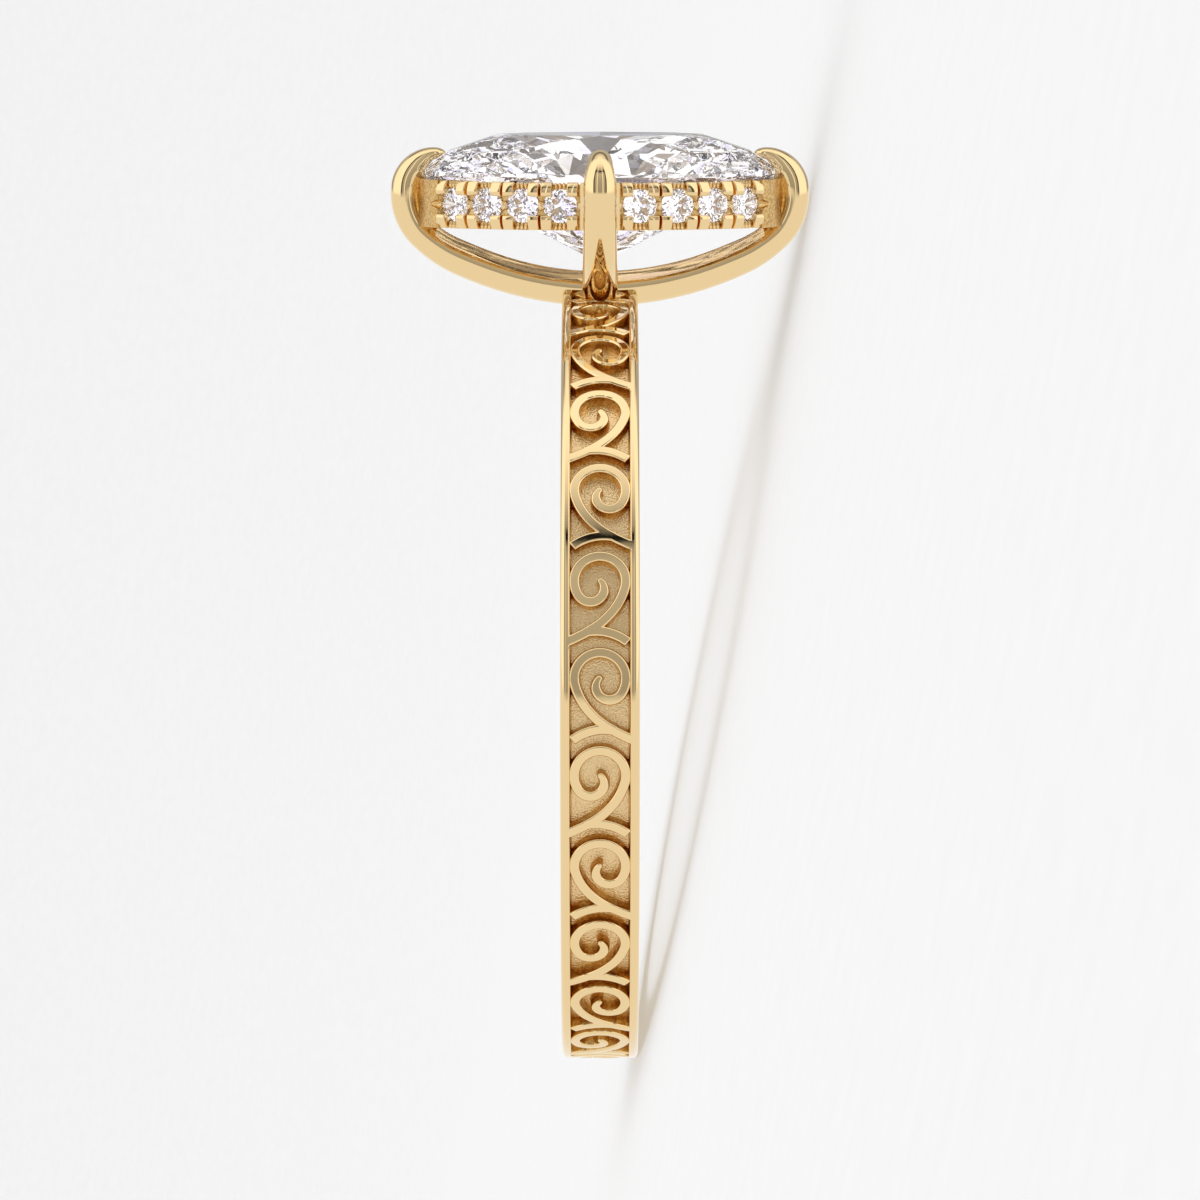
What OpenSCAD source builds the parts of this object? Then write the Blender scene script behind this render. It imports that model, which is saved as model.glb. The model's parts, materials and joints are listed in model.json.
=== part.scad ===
// Hidden halo ring: an oval brilliant held by two crossed claw wires over a band
// with cast scrolls, and a rail of small brilliants under the stone's girdle.
// Each piece is drawn upright, with the finger along X and the stone at +Z, and
// then laid on its side, where the ring rests on a claw wire and the band's rim.

/* [Band] */
// Diameter of the finger hole
finger_d = 17; // [16:0.1:18]
// Thickness of the band from the finger hole to the rims
band_t = 1.8; // [1.6:0.05:2]
// Width of the band along the finger
band_w = 2.01; // [1.96:0.01:2.06]
// Width of each raised rim
rim_w = 0.24; // [0.2:0.01:0.26]
// Depth of the sunk ground between the rims
ground_depth = 0.3; // [0.2:0.01:0.4]

/* [Scrolls] */
// Number of scrolls round the band
scroll_count = 26; // [26:2:26]
// Radius of a scroll's outer turn, to the middle of its strip
scroll_r = 0.65; // [0.64:0.01:0.66]
// Width of the raised strip
strip_w = 0.24; // [0.22:0.01:0.27]
// Height of the first scroll's centre above the level of the finger's axis, in degrees
first_scroll = 89.6; // [89:0.1:90]

/* [Centre stone] */
// Length of the oval, along the finger
stone_l = 9.3; // [9.2:0.05:9.4]
// Width of the oval
stone_w = 6.4; // [6.3:0.05:6.5]
// Height of the girdle over the finger's axis
girdle_z = 13.52; // [13.5:0.01:13.56]
// Height of the crown over the girdle
crown_h = 0.99; // [0.95:0.01:1.05]
// Depth of the pavilion under the girdle
pavilion_h = 2.43; // [2.3:0.01:2.5]
// Size of the table as a share of the oval
table_share = 0.585; // [0.52:0.005:0.62]

/* [Halo rail] */
// Height of the middle of the rail over the finger's axis
rail_z = 12.71; // [12.68:0.01:12.74]
// Height of the rail
rail_h = 1.26; // [1.2:0.01:1.3]
// Thickness of the rail
rail_t = 0.56; // [0.54:0.01:0.6]
// Distance from the oval's centre to the centre of the rail's end curve
rail_end_x = 2.3; // [2.25:0.01:2.35]
// Radius of the rail's end curve, outside
rail_end_r = 2.55; // [2.5:0.01:2.6]
// Half the rail's width across the finger, outside
rail_half_w = 3.25; // [3.2:0.01:3.3]
// Diameter of a halo stone
halo_d = 0.9; // [0.84:0.01:0.94]
// Distance from one halo stone to the next along the rail
halo_pitch = 1.06; // [1.04:0.01:1.08]

/* [Hidden] */
$fn = 64;
gap = 0.02;
overlap = 0.1;
finger_r = finger_d / 2;
rim_r = finger_r + band_t;
ground_r = rim_r - ground_depth;
half_w = band_w / 2;
inner_bevel = 0.12;
outer_bevel = 0.08;
scroll_inset = 0.02;

// A scroll is a chain of arcs on both sides of its outer half turn, which is
// centred on the scroll. Columns: radius, sweep in degrees, number of steps.
SCROLL_IN = [[0.73, 31, 2], [0.353, 115, 6], [0.315, 76, 4]];
SCROLL_OUT = [[1.95, 8, 1], [1.15, 43, 4], [3.1, 24, 3]];
OUTER_STEPS = 10;
scroll_tip = 0.45;
arch_r = 1.29;
arch_top = [-0.1, -1.316];
arch_left = -0.86;
arch_right = 0.71;
ARCH_STEPS = 6;
scroll_low = 0.39;
scroll_pitch = 360 / scroll_count;

// A claw wire's outer edge, from the bottom of the basket to the claw's tip.
// Columns: radius of the edge, direction at the arc's end in degrees, number of
// steps, half the wire's width and half its depth there.
long_wire = [[9.25, 25, 5, 0.48, 0.475], [3.9, 45.5, 3, 0.45, 0.42], [1.9, 99, 5, 0.41, 0.36],
    [1.142, 181, 8, 0.33, 0.26]];
short_wire = [[5.2, 35, 6, 0.46, 0.46], [2.66, 98, 7, 0.44, 0.36], [0.95, 184, 7, 0.39, 0.27]];
wire_z = 9.9;
wire_w = 0.5;
wire_d = 0.475;
WIRE_SIDES = 16;
TIP = [[0.12, 0.9], [0.2, 0.7], [0.26, 0.4]];

GIRDLE_POINTS = 64;
crown_waist = 0.82;
pavilion_waist = 0.3;
girdle_half = 0.095;

rail_side_r = (pow(rail_end_x, 2) + pow(rail_half_w, 2) - pow(rail_end_r, 2))
    / (2 * (rail_half_w - rail_end_r));
rail_side_y = rail_side_r - rail_half_w;
rail_turn = atan2(rail_end_x, rail_side_y);
rail_bottom = rail_z - rail_h / 2;
rail_sunk = 0.28;
plain_s = 0.55;
HALO_PER_QUARTER = 4;
row_end = plain_s + HALO_PER_QUARTER * halo_pitch;
cut_l = 0.55;
cut_r = 0.17;
RAIL_STEPS = 72;
PLAIN_STEPS = 12;
halo_r = halo_d / 2;
halo_crown = 0.13;
halo_pavilion = 0.36;
halo_girdle = 0.02;
halo_depth = 0.24;
block_in = 0.2;
block_low = 0.25;
slit_w = 0.07;

HALO = [for (q = [0:3], i = [0:HALO_PER_QUARTER - 1]) [q, plain_s + (i + 0.5) * halo_pitch]];
function halo_name(i) = str("halo_stone_", i < 9 ? "0" : "", i + 1);

// Places and directions on a chain of arcs. A place is [x, y, heading].
function arc_at(p, r, a) = [
    p.x + r * (sin(p.z) - sin(p.z - a)),
    p.y - r * (cos(p.z) - cos(p.z - a)),
    p.z - a];
function chain(arcs, p, turn, i = 0) = i == len(arcs) ? [] : concat(
    [for (k = [1:arcs[i][2]]) arc_at(p, turn * arcs[i][0], turn * arcs[i][1] * k / arcs[i][2])],
    chain(arcs, arc_at(p, turn * arcs[i][0], turn * arcs[i][1]), turn, i + 1));
function beside(p, d) = [p.x - d * sin(p.z), p.y + d * cos(p.z)];
function reversed(list) = [for (i = [len(list) - 1:-1:0]) list[i]];
function strip(line, widths) = concat(
    [for (i = [0:len(line) - 1]) beside(line[i], widths[i] / 2)],
    reversed([for (i = [0:len(line) - 1]) beside(line[i], -widths[i] / 2)]));

// The middle line of a scroll, from its tip inside to its tail in the rim.
function scroll_line() = let (
    inward = chain(SCROLL_IN, [-scroll_r, 0, -90], -1),
    turned = [for (p = reversed(inward)) [p.x, p.y, p.z - 180]],
    outer = [for (k = [0:OUTER_STEPS]) arc_at([-scroll_r, 0, 90], scroll_r, 180 * k / OUTER_STEPS)],
    outward = chain(SCROLL_OUT, [scroll_r, 0, -90], 1))
    concat(turned, outer, outward);
function scroll_widths(n) = [for (i = [0:n - 1]) strip_w * min(1, scroll_tip + i * 0.14)];

module scroll_outline() {
    line = scroll_line();
    polygon(strip(line, scroll_widths(len(line))));
    translate([line[0].x, line[0].y]) rotate(line[0].z + 90)
        polygon([for (k = [0:4]) strip_w * scroll_tip / 2 * [cos(180 + 45 * k), sin(180 + 45 * k)]]);
    a0 = asin((arch_left - arch_top.x) / arch_r);
    a1 = asin((arch_right - arch_top.x) / arch_r);
    arch = [for (k = [0:ARCH_STEPS]) let (a = a0 + (a1 - a0) * k / ARCH_STEPS)
        [arch_top.x + arch_r * sin(a), arch_top.y - arch_r * (1 - cos(a)), -a]];
    polygon(strip(arch, [for (p = arch) strip_w]));
}

module band() {
    half_ground = half_w - rim_w;
    side = [
        [finger_r, half_w - inner_bevel],
        [finger_r + inner_bevel, half_w],
        [rim_r - outer_bevel, half_w],
        [rim_r, half_w - outer_bevel],
        [rim_r, half_ground],
        [ground_r, half_ground]];
    rotate([0, 90, 0]) rotate_extrude()
        polygon(concat(side, reversed([for (p = side) [p.x, -p.y]])));
}

module scrolls() {
    intersection() {
        for (i = [0:scroll_count - 1]) {
            turn = first_scroll - i * scroll_pitch - scroll_low / rim_r * 180 / PI;
            rotate([90 - turn, 0, 0])
                translate([0, scroll_low, ground_r - 2 * overlap])
                    linear_extrude(ground_depth + 4 * overlap)
                        mirror([i % 2 == 0 ? 1 : 0, 0]) scroll_outline();
        }
        rotate([0, 90, 0]) rotate_extrude()
            translate([ground_r - overlap, -half_w + rim_w / 2])
                square([ground_depth + overlap - scroll_inset, band_w - rim_w]);
    }
}

// A wire's rings, each [across, height, direction, half width, half depth] of its
// outer edge. The second half mirrors the first.
function wire_half(arcs, p, w, d, i = 0) = i == len(arcs) ? [] : let (
    r = arcs[i][0], turn = arcs[i][1] - p.z, steps = arcs[i][2], w1 = arcs[i][3], d1 = arcs[i][4])
    concat(
        [for (k = [1:steps]) let (f = k / steps, q = arc_at(p, -r, -turn * f))
            [q.x, q.y, q.z, w + (w1 - w) * f, d + (d1 - d) * f]],
        wire_half(arcs, arc_at(p, -r, -turn), w1, d1, i + 1));
function tipped(rings) = let (e = rings[len(rings) - 1]) concat(rings,
    [for (t = TIP) let (in = e[4] * (1 - t[1]))
        [e[0] + t[0] * cos(e[2]) - in * sin(e[2]), e[1] + t[0] * sin(e[2]) + in * cos(e[2]),
            e[2], e[3] * t[1], e[4] * t[1]]]);
function wire_rings(arcs) = let (
    half = tipped(wire_half(arcs, [0, wire_z, 0], wire_w, wire_d)))
    concat(reversed([for (r = half) [-r[0], r[1], -r[2], r[3], r[4]]]),
        [[0, wire_z, 0, wire_w, wire_d]], half);

module claw_wire(arcs) {
    rings = wire_rings(arcs);
    n = WIRE_SIDES;
    points = [for (r = rings, k = [0:n - 1]) let (
        a = 360 * k / n, deep = r[4] * (cos(a) - 1))
        [r[0] + deep * sin(r[2]), r[3] * sin(a), r[1] - deep * cos(r[2])]];
    last = len(rings) - 1;
    polyhedron(points, concat(
        [[for (k = [0:n - 1]) k], [for (k = [n - 1:-1:0]) last * n + k]],
        [for (j = [0:last - 1], k = [0:n - 1]) let (a = j * n + k, b = j * n + (k + 1) % n)
            each [[a, a + n, b], [b, a + n, b + n]]]));
}

// Faces of a brilliant with a table, 8 stars, 8 bezels, 16 upper and 16 lower
// halves, a girdle of n points and 8 pavilion mains. Its girdle's middle is at 0.
function on_oval(l, w, share, a) = [l / 2 * share * cos(a), w / 2 * share * sin(a)];
function half_z(share, z, slope_z, a) = let (
    b = a % 22.5 - 11.25, edge = cos(11.25), deep = (cos(b) - edge) / (edge - share * edge))
    z + (z - slope_z) * deep;
module brilliant(l, w, crown, pavilion, table, half, n) {
    crown_z = half + (crown - half) * (1 - crown_waist * cos(22.5)) / (1 - table);
    pavilion_z = -half - (pavilion - half) * (1 - pavilion_waist * cos(22.5));
    per = n / 16;
    points = concat(
        [for (k = [0:7]) concat(on_oval(l, w, table, 45 * k), crown)],
        [for (k = [0:7]) concat(on_oval(l, w, crown_waist, 45 * k + 22.5), crown_z)],
        [for (k = [0:n - 1]) let (a = 360 * k / n)
            concat(on_oval(l, w, 1, a), half_z(crown_waist, half, crown_z, a))],
        [for (k = [0:n - 1]) let (a = 360 * k / n)
            concat(on_oval(l, w, 1, a), half_z(pavilion_waist, -half, pavilion_z, a))],
        [for (k = [0:7]) concat(on_oval(l, w, pavilion_waist, 45 * k + 22.5), pavilion_z)],
        [[0, 0, -pavilion]]);
    up = 16;
    down = up + n;
    low = down + n;
    culet = low + 8;
    faces = concat(
        [[for (k = [7:-1:0]) k]],
        [for (k = [0:7]) [k, (k + 1) % 8, 8 + k]],
        [for (k = [0:7]) [k, 8 + k, up + 2 * per * k, 8 + (k + 7) % 8]],
        [for (k = [0:15]) let (s = 8 + floor(k / 2))
            concat([s], [for (j = [per:-1:0]) up + (per * k + j) % n])],
        [for (k = [0:n - 1]) let (m = (k + 1) % n)
            each [[up + k, up + m, down + k], [up + m, down + m, down + k]]],
        [for (k = [0:15]) let (s = low + floor(k / 2))
            concat([s], [for (j = [0:per]) down + (per * k + j) % n])],
        [for (k = [0:7]) [low + k, culet, low + (k + 7) % 8, down + 2 * per * k]]);
    polyhedron(points, faces);
}

module centre_brilliant(extra) {
    translate([0, 0, girdle_z])
        brilliant(stone_l + 2 * extra, stone_w + 2 * extra, crown_h + extra, pavilion_h + extra,
            table_share, girdle_half, GIRDLE_POINTS);
}

// The oval rail is four arcs. A place at length s along it, from the middle of a
// long side, has its outward normal at rail_angle(s) from the short axis.
function rail_angle(s) = let (side = rail_side_r * rail_turn * PI / 180)
    s < side ? s / rail_side_r * 180 / PI : rail_turn + (s - side) / rail_end_r * 180 / PI;
module on_rail(q, s) {
    a = rail_angle(s);
    r = a < rail_turn ? rail_side_r : rail_end_r;
    c = a < rail_turn ? [0, rail_side_y] : [rail_end_x, 0];
    mirror([q % 2, 0, 0]) mirror([0, q > 1 ? 1 : 0, 0])
        translate([c.x + r * sin(a), c.y - r * cos(a), rail_z]) rotate([90, 0, a]) children();
}

function rail_at(a, inset) = let (
    side = abs(sin(a)) > cos(rail_turn),
    r = (side ? rail_side_r : rail_end_r) - inset,
    c = side ? [0, -sign(sin(a)) * rail_side_y] : [sign(cos(a)) * rail_end_x, 0])
    [c.x + r * cos(a), c.y + r * sin(a)];

module rail_wall(inside, outside, from, to, steps) {
    a = [for (k = [0:steps]) from + (to - from) * k / steps];
    translate([0, 0, rail_bottom]) linear_extrude(rail_h)
        polygon(concat([for (i = a) rail_at(i, outside)], reversed([for (i = a) rail_at(i, inside)])));
}
module rail_core() {
    translate([0, 0, rail_bottom]) linear_extrude(rail_h) difference() {
        polygon([for (k = [0:RAIL_STEPS - 1]) rail_at(360 * (k + 0.5) / RAIL_STEPS, rail_sunk)]);
        polygon([for (k = [0:RAIL_STEPS - 1]) rail_at(360 * (k + 0.5) / RAIL_STEPS, rail_t)]);
    }
}

module halo_blocks(q, s) {
    w = halo_pitch / 2 - slit_w / 2 - block_in;
    h = rail_h / 2 - block_low;
    on_rail(q, s) for (x = [-1, 1], y = [-1, 1])
        translate([x * (block_in + w / 2), y * (block_low + h / 2), -rail_sunk / 2 - overlap / 2])
            cube([w, h, rail_sunk + overlap], center = true);
}
module halo_seat(q, s) {
    on_rail(q, s) translate([0, 0, -halo_depth]) rotate_extrude() polygon([
        [0, -halo_pavilion - overlap - halo_depth],
        [halo_r / 4, -halo_pavilion - overlap - halo_depth],
        [halo_r / 4, -halo_pavilion * 0.75 - gap],
        [halo_r + gap, -halo_girdle / 2 - gap],
        [halo_r + gap, halo_girdle / 2 + gap],
        [halo_r * table_share + gap, halo_crown + gap],
        [halo_r * table_share + gap, 2 * halo_depth],
        [0, 2 * halo_depth]]);
}
// The row of stones ends in a pointed cut on each side of the rail's plain ends.
module end_cut(q) {
    on_rail(q, row_end + cut_l / 2 - block_in) rotate([0, 90, 0])
        cylinder(h = cut_l, r1 = cut_r, r2 = 0.01, center = true);
}
module halo_rail() {
    plain_end = 90 - rail_angle(row_end - slit_w);
    plain_side = rail_angle(plain_s - slit_w / 2);
    difference() {
        union() {
            rail_core();
            for (m = [0, 180]) {
                rail_wall(rail_sunk + overlap, 0, m - plain_end, m + plain_end, PLAIN_STEPS);
                rail_wall(rail_sunk + overlap, 0, m + 90 - plain_side, m + 90 + plain_side, 2);
            }
            for (h = HALO) halo_blocks(h[0], h[1]);
        }
        for (h = HALO) halo_seat(h[0], h[1]);
        for (q = [0:3]) end_cut(q);
    }
}

// The ring lies on the outside of a claw wire's side arc and on the band's rim.
rim_edge = [half_w - outer_bevel / 2, -rim_r + outer_bevel / 2];
side_arc = let (p = arc_at(arc_at([0, wire_z, 0], -long_wire[0][0], -long_wire[0][1]), -long_wire[1][0],
    long_wire[0][1] - long_wire[1][1]), r = long_wire[2][0]) [p.x - r * sin(p.z), p.y + r * cos(p.z), r];
to_arc = [side_arc.x - rim_edge.x, side_arc.y - rim_edge.y];
tilt = atan2(to_arc.x, to_arc.y) + asin(side_arc.z / norm(to_arc));
lift = rim_edge.x * cos(tilt) - rim_edge.y * sin(tilt);
table_z = girdle_z + crown_h;
reach_head = stone_l / 2 * table_share * sin(tilt) + table_z * cos(tilt);
reach_back = half_w * sin(tilt) + rim_r * cos(tilt);

module laid() {
    translate([(reach_back - reach_head) / 2, 0, lift]) rotate([0, 90 - tilt, 0]) children();
}

module mounting() {
    color("goldenrod") laid() difference() {
        union() {
            band();
            scrolls();
            claw_wire(long_wire);
            rotate(90) claw_wire(short_wire);
            halo_rail();
        }
        centre_brilliant(gap);
    }
}
module centre_stone() {
    color("white") laid() centre_brilliant(0);
}
module halo_stone(i) {
    color("white") laid() on_rail(HALO[i][0], HALO[i][1]) translate([0, 0, -halo_depth])
        brilliant(halo_d, halo_d, halo_crown, halo_pavilion, table_share, halo_girdle / 2, 16);
}

mounting();
centre_stone();
for (i = [0:len(HALO) - 1]) halo_stone(i);
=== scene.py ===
import bmesh
import bpy
import json
from math import asin, atan2, ceil, cos, degrees, pi, radians, sin, tau
from mathutils import Matrix, Vector


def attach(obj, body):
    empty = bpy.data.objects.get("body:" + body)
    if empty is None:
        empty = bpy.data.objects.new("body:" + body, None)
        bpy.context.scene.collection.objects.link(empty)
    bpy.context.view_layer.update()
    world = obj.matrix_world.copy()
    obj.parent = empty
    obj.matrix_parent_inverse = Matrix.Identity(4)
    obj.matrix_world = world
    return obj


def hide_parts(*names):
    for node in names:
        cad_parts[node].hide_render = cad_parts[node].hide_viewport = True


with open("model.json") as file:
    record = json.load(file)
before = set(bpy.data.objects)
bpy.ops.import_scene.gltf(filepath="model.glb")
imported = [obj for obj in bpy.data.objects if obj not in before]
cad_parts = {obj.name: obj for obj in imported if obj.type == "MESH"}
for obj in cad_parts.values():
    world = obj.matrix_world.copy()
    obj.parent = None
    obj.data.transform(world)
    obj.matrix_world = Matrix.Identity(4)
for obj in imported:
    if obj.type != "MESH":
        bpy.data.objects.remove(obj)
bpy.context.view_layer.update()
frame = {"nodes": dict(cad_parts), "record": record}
bpy.ops.object.select_all(action="DESELECT")

# The ring is modelled upright in millimetres, with the finger along X and the
# stone at +Z, and each finished piece is then laid down where the frame lies.
MM = 0.001
hole = next(m for m in frame["record"]["mounts"] if m["name"] == "finger_hole")
FINGER = -Vector(hole["axis"]).normalized()
ACROSS = Vector((0, 1, 0))
HEAD = FINGER.cross(ACROSS)
CENTRE = Vector(hole["pos_m"])
LAID = (Matrix.Translation(CENTRE) @ Matrix((FINGER, ACROSS, HEAD)).transposed().to_4x4()
        @ Matrix.Scale(MM, 4))

# How near two points are when they count as one, are welded, or lie on one line, how
# nearly a face points one way (as a cosine), and the degrees up to which edges are soft
SAME = 1e-5
WELD = 1e-4
NEAR = 1e-3
FACING = 0.9
SMOOTH = 35

# Band, with the numbers of its stippled and unbuffed faces' coats
FINGER_R = hole["dims"]["r_mm"]
BAND_T = 1.8
BAND_W = 2.01
RIM_W = 0.24
GROUND_DEPTH = 0.3
RIM_R = FINGER_R + BAND_T
GROUND_R = RIM_R - GROUND_DEPTH
INNER_ROUND = 0.12
OUTER_ROUND = 0.15
EDGE_ROUND = 0.05
DRAFT = 0.05
ROUND_STEPS = 8
EDGE_STEPS = 4
BAND_FACES_PER_SCROLL = 14
GROUND, CUT = 1, 2

# Scrolls, as chains of arcs: radius, sweep in degrees. Their strips narrow to the tip
# inside, run into the rim as far as STRIP_REACH, and are rooted under the ground
SCROLLS = 26
SCROLL_R = 0.65
STRIP_W = 0.25
STRIP_REACH = 0.835
STRIP_ROOT = 0.1
FIRST_SCROLL = 89.6
SCROLL_IN = [(0.73, 31), (0.353, 115), (0.315, 76)]
SCROLL_OUT = [(0.65, 14), (1.62, 25), (2.03, 18), (3.76, 14)]
SCROLL_TIP = 0.64
TIP_LENGTH = 0.3
CAP_STEP = 20
ARCH_R = 1.29
ARCH_TOP = (-0.1, -1.29)
ARCH_LEFT = -0.4
ARCH_RIGHT = 0.71
ARC_STEP = 5

# Claw wires, as arcs of the outer edge: radius, direction at its end, half the
# wire's width and half its depth there
LONG_WIRE = [(9.25, 25, 0.48, 0.475), (3.9, 45.5, 0.45, 0.42), (1.9, 99, 0.42, 0.44),
             (1.142, 142, 0.38, 0.43), (1.142, 181, 0.28, 0.16)]
SHORT_WIRE = [(5.2, 35, 0.46, 0.46), (2.66, 98, 0.44, 0.4), (0.95, 184, 0.29, 0.24)]
WIRE_Z = 9.9
WIRE_HALF_W = 0.5
WIRE_HALF_D = 0.475
WIRE_SIDES = 24
WIRE_STEP = 6
TIP_L = 0.31
TIP_ANGLES = (20, 40, 58, 74, 84)

# Centre stone, as rings of facet corners: how many, their first angle, their share
# of the girdle's size, their height over its middle. HALF_FACET is half the turn from
# one corner of the girdle to the next, and facets that differ by FLAT degrees are one
GIRDLE_Z = 13.52
STONE_L = 9.3
STONE_W = 6.4
HALF_FACET = 11.25
UPPER_HALVES = (16, HALF_FACET, 0.88, 0.55)
LOWER_HALVES = (8, 2 * HALF_FACET, 0.3, -1.783)
STONE_RINGS = [(8, 0, 0.585, 0.99), (8, 2 * HALF_FACET, 0.74, 0.83), UPPER_HALVES,
               (64, 0, 1, 0.095), (64, 0, 1, -0.095), LOWER_HALVES, (8, 0, 0.01, -2.43)]
FLAT = 0.5
STONE_GAP = 1.005

# Halo rail, an oval of four arcs. From the middle of each side comes a plain length
# PLAIN_S, then four stones a PITCH apart, and then a plain end with a pointed cut
RAIL_Z = 12.71
RAIL_H = 1.26
RAIL_T = 0.56
END_X = 2.3
END_R = 2.55
HALF_W = 3.25
SIDE_R = (END_X ** 2 + HALF_W ** 2 - END_R ** 2) / (2 * (HALF_W - END_R))
SIDE_Y = SIDE_R - HALF_W
TURN = atan2(END_X, SIDE_Y)
SUNK = 0.28
PLAIN_S = 0.55
PITCH = 1.06
PER_QUARTER = 4
SLIT = 0.07
HALO_D = 0.9
HALO_DEPTH = 0.24
RAIL_STEP = 4
WALL_ROOT = 0.1
CORE_CUT = 1

# The four corner blocks at a stone start BLOCK_IN beside its middle and BLOCK_LOW over
# it. Their crowned face stands out most at BLOCK_APEX and falls away above and below
BLOCK_IN = 0.2
BLOCK_LOW = 0.25
BLOCK_APEX = 0.1
BLOCK_FALL = 1.6
BLOCK_LIP = 3.5
BLOCK_CORNER = 0.1
BLOCK_ROUND = 0.028
BLOCK_ROOT = 0.04
FACE_STEPS = 12
SHARP = 0.6

# Beads and side ribs, and the slope that keeps their backs clear of the centre stone
BEAD_SIZE = (0.052, 0.07, 0.1)
BEAD_APART = 2.1
BEAD_OVER = 0.9
BEAD_SUNK = 0.05
RIB_SIZE = (0.06, 0.1, 0.13)
RIB_SUNK = 0.02
SEAT_DEPTH = 0.14
SEAT_SLOPE = 1.34

# The pointed cut in each plain end
CUT_L = 0.55
CUT_R = 0.17
CUT_TIP = 0.01

# The bore behind each small stone: how much wider than the stone, its tip, its
# length, and how far its middle lies behind the stone
BORE_WIDER = 0.06
BORE_TIP = 0.1
BORE_L = 0.46
BORE_BEHIND = 0.18


def mode(name):
    """Goes to edit or object mode."""
    bpy.ops.object.mode_set(mode=name)


def pick(part, kind, test):
    """Selects the faces, edges or vertices of a part that pass a test."""
    mode("EDIT")
    bpy.ops.mesh.select_mode(type={"faces": "FACE", "edges": "EDGE", "verts": "VERT"}[kind])
    bpy.ops.mesh.select_all(action="DESELECT")
    mesh = bmesh.from_edit_mesh(part.data)
    for element in getattr(mesh, kind):
        element.select_set(test(element))
    mesh.select_flush_mode()
    bmesh.update_edit_mesh(part.data)


def turn(angle, axis, centre=(0, 0, 0)):
    """Turns by the right hand, in degrees. With no window the operator turns by the left."""
    bpy.ops.transform.rotate(value=-radians(angle), orient_axis=axis, center_override=centre)


def draw(name, points):
    """A flat face whose outline is drawn from point to point."""
    bpy.ops.mesh.primitive_plane_add(size=1)
    part = bpy.context.object
    part.name = name
    mode("EDIT")
    bpy.ops.mesh.select_mode(type="VERT")
    bpy.ops.mesh.merge(type="CENTER")
    bpy.ops.transform.translate(value=points[0])
    for here, there in zip(points, points[1:] + points[:1]):
        step = Vector(there) - Vector(here)
        bpy.ops.mesh.extrude_region_move(TRANSFORM_OT_translate={"value": step})
    bpy.ops.mesh.select_all(action="SELECT")
    bpy.ops.mesh.remove_doubles(threshold=SAME)
    bpy.ops.mesh.edge_face_add()
    return part


def modify(part, kind, **values):
    """Adds a modifier and applies it."""
    mode("OBJECT")
    bpy.context.view_layer.objects.active = part
    modifier = part.modifiers.new(kind.title(), kind)
    for name, value in values.items():
        setattr(modifier, name, value)
    bpy.ops.object.modifier_apply(modifier=modifier.name)


def outwards(part):
    """Points all faces of a part outwards."""
    bpy.context.view_layer.objects.active = part
    mode("EDIT")
    bpy.ops.mesh.select_all(action="SELECT")
    bpy.ops.mesh.normals_make_consistent(inside=False)
    mode("OBJECT")


def copied(part):
    """A copy with a mesh of its own."""
    twin = part.copy()
    twin.data = part.data.copy()
    bpy.context.collection.objects.link(twin)
    return twin


def joined(name, parts):
    """Several parts made one object."""
    bpy.context.view_layer.objects.active = parts[0]
    mode("OBJECT")
    bpy.ops.object.select_all(action="DESELECT")
    for part in parts:
        part.select_set(True)
    bpy.ops.object.join()
    parts[0].name = parts[0].data.name = name
    bpy.ops.object.select_all(action="DESELECT")
    return parts[0]


def removed(part):
    """Takes away a part that is used up."""
    bpy.data.objects.remove(part, do_unlink=True)


def bored(wall, cutters):
    """Cuts all the cutters out of a wall at once."""
    cutter = joined("cutter", cutters)
    outwards(cutter)
    modify(wall, "BOOLEAN", object=cutter, operation="DIFFERENCE", solver="EXACT")
    removed(cutter)
    return wall


# Places on a chain of arcs, each (x, y, heading in degrees)
def along(place, radius, sweep):
    """The place that an arc comes to."""
    x, y, heading = place
    a, b = radians(heading), radians(heading - sweep)
    return x + radius * (sin(a) - sin(b)), y - radius * (cos(a) - cos(b)), heading - sweep


def chain(place, arcs, side):
    """The places along arcs that follow each other, to the right (1) or left (-1)."""
    places = []
    for radius, sweep in arcs:
        steps = ceil(sweep / ARC_STEP)
        places += [along(place, side * radius, side * sweep * k / steps) for k in range(1, steps + 1)]
        place = places[-1]
    return places


def beside(place, distance):
    """The point at a distance to the left of a place."""
    x, y, heading = place
    return x - distance * sin(radians(heading)), y + distance * cos(radians(heading))


def strip_outline(line, widths, wider):
    """Both edges of a strip along a line of places."""
    left = [beside(p, w / 2 + wider) for p, w in zip(line, widths)]
    right = [beside(p, -w / 2 - wider) for p, w in zip(line, widths)]
    return left + right[::-1]


def scroll_outline(wider):
    """A scroll's strip, from its round tip inside to its tail in the rim."""
    inward = chain((-SCROLL_R, 0, -90), SCROLL_IN, -1)
    turned = [(x, y, heading - 180) for x, y, heading in inward[::-1]]
    outer = [(-SCROLL_R, 0, 90)] + chain((-SCROLL_R, 0, 90), [(SCROLL_R, 180)], 1)
    line = turned + outer + chain((SCROLL_R, 0, -90), SCROLL_OUT, 1)
    widths, walked = [], 0
    for here, before in zip(line, line[:1] + line):
        walked += (Vector(here[:2]) - Vector(before[:2])).length
        widths.append(STRIP_W * min(1, SCROLL_TIP + (1 - SCROLL_TIP) * walked / TIP_LENGTH))
    x, y, heading = line[0]
    tip = widths[0] / 2 + wider
    cap = [(x + tip * cos(radians(heading - 90 - a)), y + tip * sin(radians(heading - 90 - a)))
           for a in range(CAP_STEP, 180, CAP_STEP)]
    return strip_outline(line, widths, wider) + cap


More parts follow.
